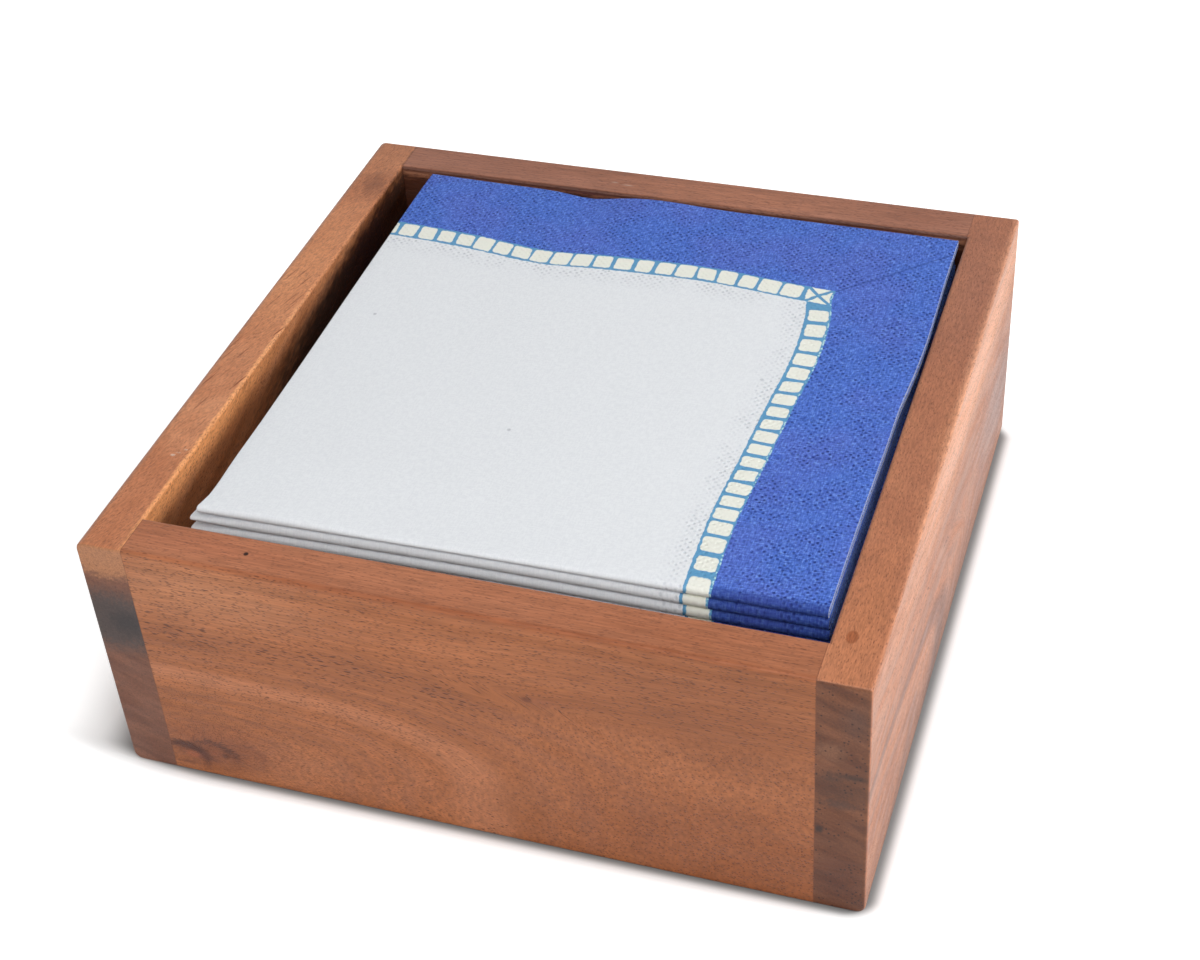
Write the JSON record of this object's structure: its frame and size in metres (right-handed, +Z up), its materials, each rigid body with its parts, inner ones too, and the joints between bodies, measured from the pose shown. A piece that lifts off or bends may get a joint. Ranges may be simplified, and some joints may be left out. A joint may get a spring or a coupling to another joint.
{
  "type": "napkin box",
  "caption": "Low open-top hardwood box with dowelled butt corners and a grooved bottom panel, holding a lift-out stack of quarter-folded paper napkins.",
  "frame": {"origin": "middle of the box's footprint, on the surface that it stands on", "axes": "+Z up, +X to the right across the front board, -Y towards the front"},
  "size_m": [0.203, 0.1994, 0.079],
  "materials": {
    "box_wood": "satin",
    "panel_wood": "satin",
    "dowel_wood": "matte",
    "napkin_tissue": "matte"
  },
  "bodies": {
    "box": {"left_side_board": "box_wood", "right_side_board": "box_wood", "front_board": "box_wood", "back_board": "box_wood", "bottom_panel": "panel_wood", "front_left_upper_dowel": "dowel_wood", "front_left_lower_dowel": "dowel_wood", "front_right_upper_dowel": "dowel_wood", "front_right_lower_dowel": "dowel_wood", "back_left_upper_dowel": "dowel_wood", "back_left_lower_dowel": "dowel_wood", "back_right_upper_dowel": "dowel_wood", "back_right_lower_dowel": "dowel_wood"},
    "napkin_pack": {"napkin_05": "napkin_tissue", "napkin_06": "napkin_tissue", "napkin_07": "napkin_tissue", "napkin_08": "napkin_tissue", "napkin_09": "napkin_tissue", "napkin_10": "napkin_tissue", "napkin_11": "napkin_tissue", "napkin_12": "napkin_tissue", "napkin_13": "napkin_tissue", "napkin_14": "napkin_tissue", "napkin_15": "napkin_tissue", "napkin_16": "napkin_tissue", "napkin_17": "napkin_tissue", "napkin_18": "napkin_tissue", "napkin_19": "napkin_tissue", "napkin_20": "napkin_tissue"},
    "top_napkin": {"napkin_01": "napkin_tissue"},
    "second_napkin": {"napkin_02": "napkin_tissue"},
    "third_napkin": {"napkin_03": "napkin_tissue"},
    "fourth_napkin": {"napkin_04": "napkin_tissue"}
  },
  "joints": [
    {"name": "pack_lift", "type": "slide", "parent": "box", "child": "napkin_pack", "axis": [0, 0, 1], "range_m": [0, 0.08]},
    {"name": "fourth_napkin_lift", "type": "slide", "parent": "napkin_pack", "child": "fourth_napkin", "axis": [0, 0, 1], "range_m": [0, 0.025]},
    {"name": "third_napkin_lift", "type": "slide", "parent": "fourth_napkin", "child": "third_napkin", "axis": [0, 0, 1], "range_m": [0, 0.025]},
    {"name": "second_napkin_lift", "type": "slide", "parent": "third_napkin", "child": "second_napkin", "axis": [0, 0, 1], "range_m": [0, 0.025]},
    {"name": "top_napkin_lift", "type": "slide", "parent": "second_napkin", "child": "top_napkin", "axis": [0, 0, 1], "range_m": [0, 0.025]}
  ]
}
